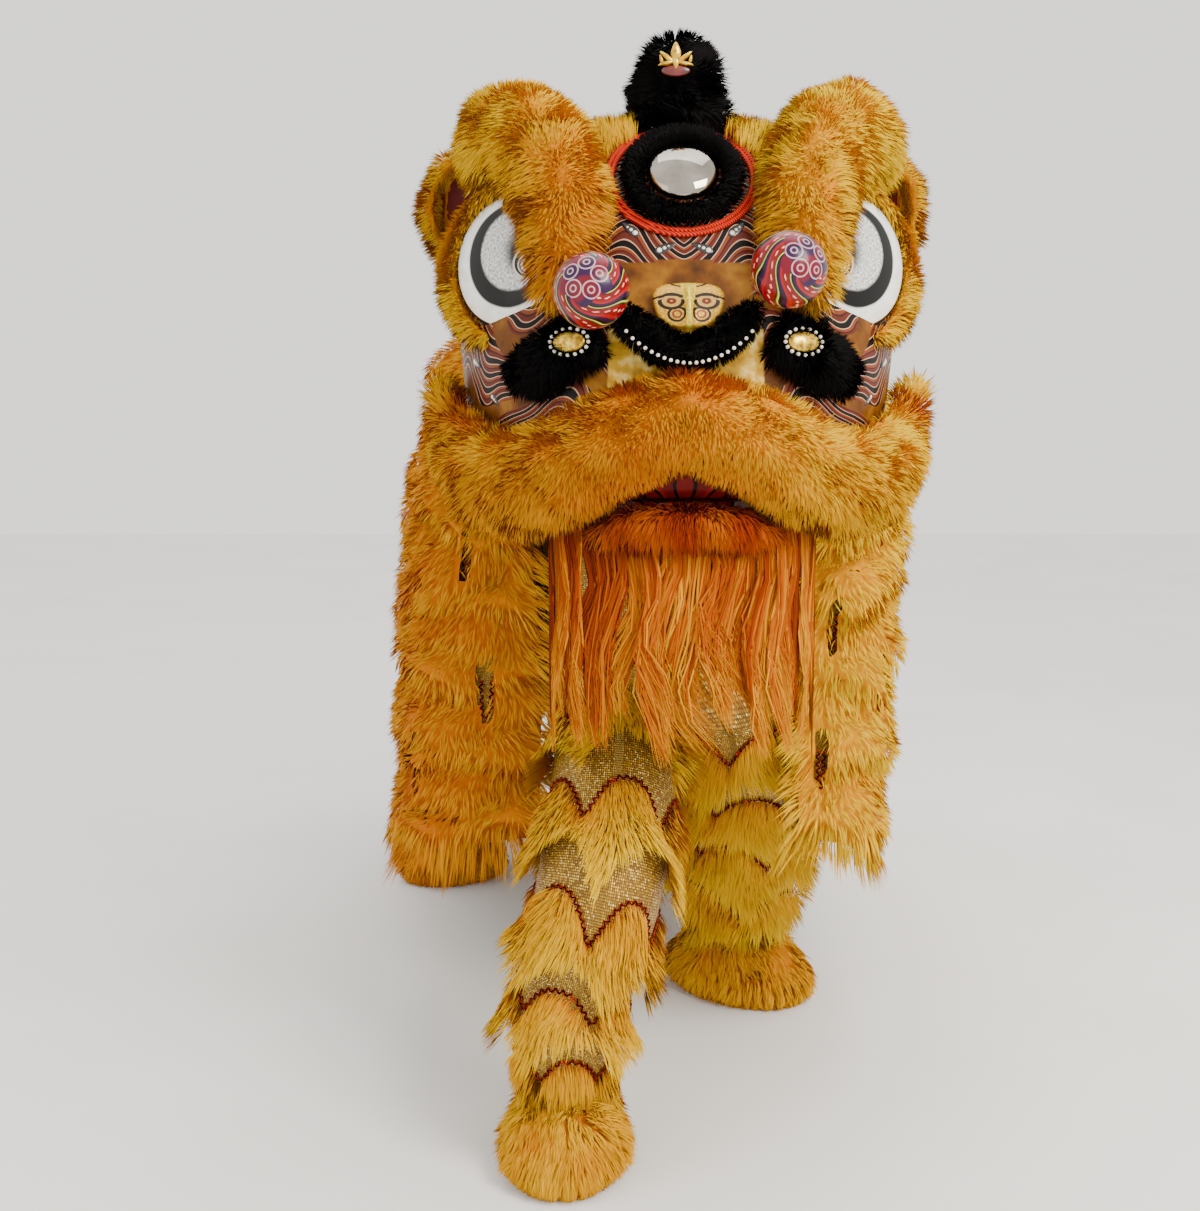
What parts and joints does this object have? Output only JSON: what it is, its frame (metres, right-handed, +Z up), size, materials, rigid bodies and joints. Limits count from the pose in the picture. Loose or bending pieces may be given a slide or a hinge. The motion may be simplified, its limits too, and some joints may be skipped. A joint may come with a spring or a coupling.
{
  "type": "lion dance costume",
  "caption": "Two-person lion dance costume, as worn: fur-trimmed lion head with hinged jaw and turning ears, body cape, and fur trousers with foot covers.",
  "frame": {"origin": "in the middle of the lion head's hollow, where the front dancer carries the head, 1.20 m above the ground", "axes": "+Z up, the lion looks along -Y, +X is the lion's left"},
  "size_m": [0.9754, 2.2666, 1.652],
  "materials": {
    "yellow_fur": "deep soft fur",
    "orange_fur": "long straight hair",
    "black_fur": "deep soft fur",
    "gold_shell": "painted and lacquered paper",
    "gold_foil": "stamped foil",
    "white_lacquer": "gloss lacquer",
    "mirror_glass": "polished dome",
    "red_braid": "corded braid",
    "red_lacquer": "gloss lacquer",
    "plain_wood": "plain",
    "red_cloth": "woven cloth",
    "gold_cloth": "sequin cloth with fur bands"
  },
  "bodies": {
    "lion": {"brow_right": "yellow_fur", "brow_left": "yellow_fur", "eye_fur_right": "yellow_fur", "eye_fur_left": "yellow_fur", "lip_roll": "yellow_fur", "cape": "yellow_fur", "front_foot_right": "yellow_fur", "front_foot_left": "yellow_fur", "rear_foot_right": "yellow_fur", "rear_foot_left": "yellow_fur", "horn": "black_fur", "mirror_fur": "black_fur", "nose_fur": "black_fur", "cheek_fur_right": "black_fur", "cheek_fur_left": "black_fur", "head_shell": "gold_shell", "horn_leaf": "gold_foil", "nose_leaf": "gold_foil", "cheek_button_right": "gold_foil", "cheek_button_left": "gold_foil", "eye_right": "white_lacquer", "eye_left": "white_lacquer", "mirror": "mirror_glass", "mirror_braid": "red_braid", "ball_right": "red_lacquer", "ball_left": "red_lacquer", "ball_post_right": "plain_wood", "ball_post_left": "plain_wood", "jaw_rod": "plain_wood", "front_trousers": "gold_cloth", "rear_trousers": "gold_cloth"},
    "jaw": {"jaw_board": "red_cloth", "jaw_fur": "orange_fur", "beard": "orange_fur", "tongue": "red_cloth"},
    "right_ear": {"ear_right": "yellow_fur"},
    "left_ear": {"ear_left": "yellow_fur"}
  },
  "joints": [
    {"name": "jaw_hinge", "type": "hinge", "parent": "lion", "child": "jaw", "pos_m": [0, -0.06, -0.178], "axis": [1, 0, 0], "range_deg": [0, 14]},
    {"name": "right_ear_pin", "type": "hinge", "parent": "lion", "child": "right_ear", "pos_m": [-0.3, 0.055, 0.2178], "axis": [1, 0, 0], "range_deg": [-8, 8]},
    {"name": "left_ear_pin", "type": "hinge", "parent": "lion", "child": "left_ear", "pos_m": [0.3, 0.055, 0.2178], "axis": [1, 0, 0], "range_deg": [-8, 8]}
  ]
}
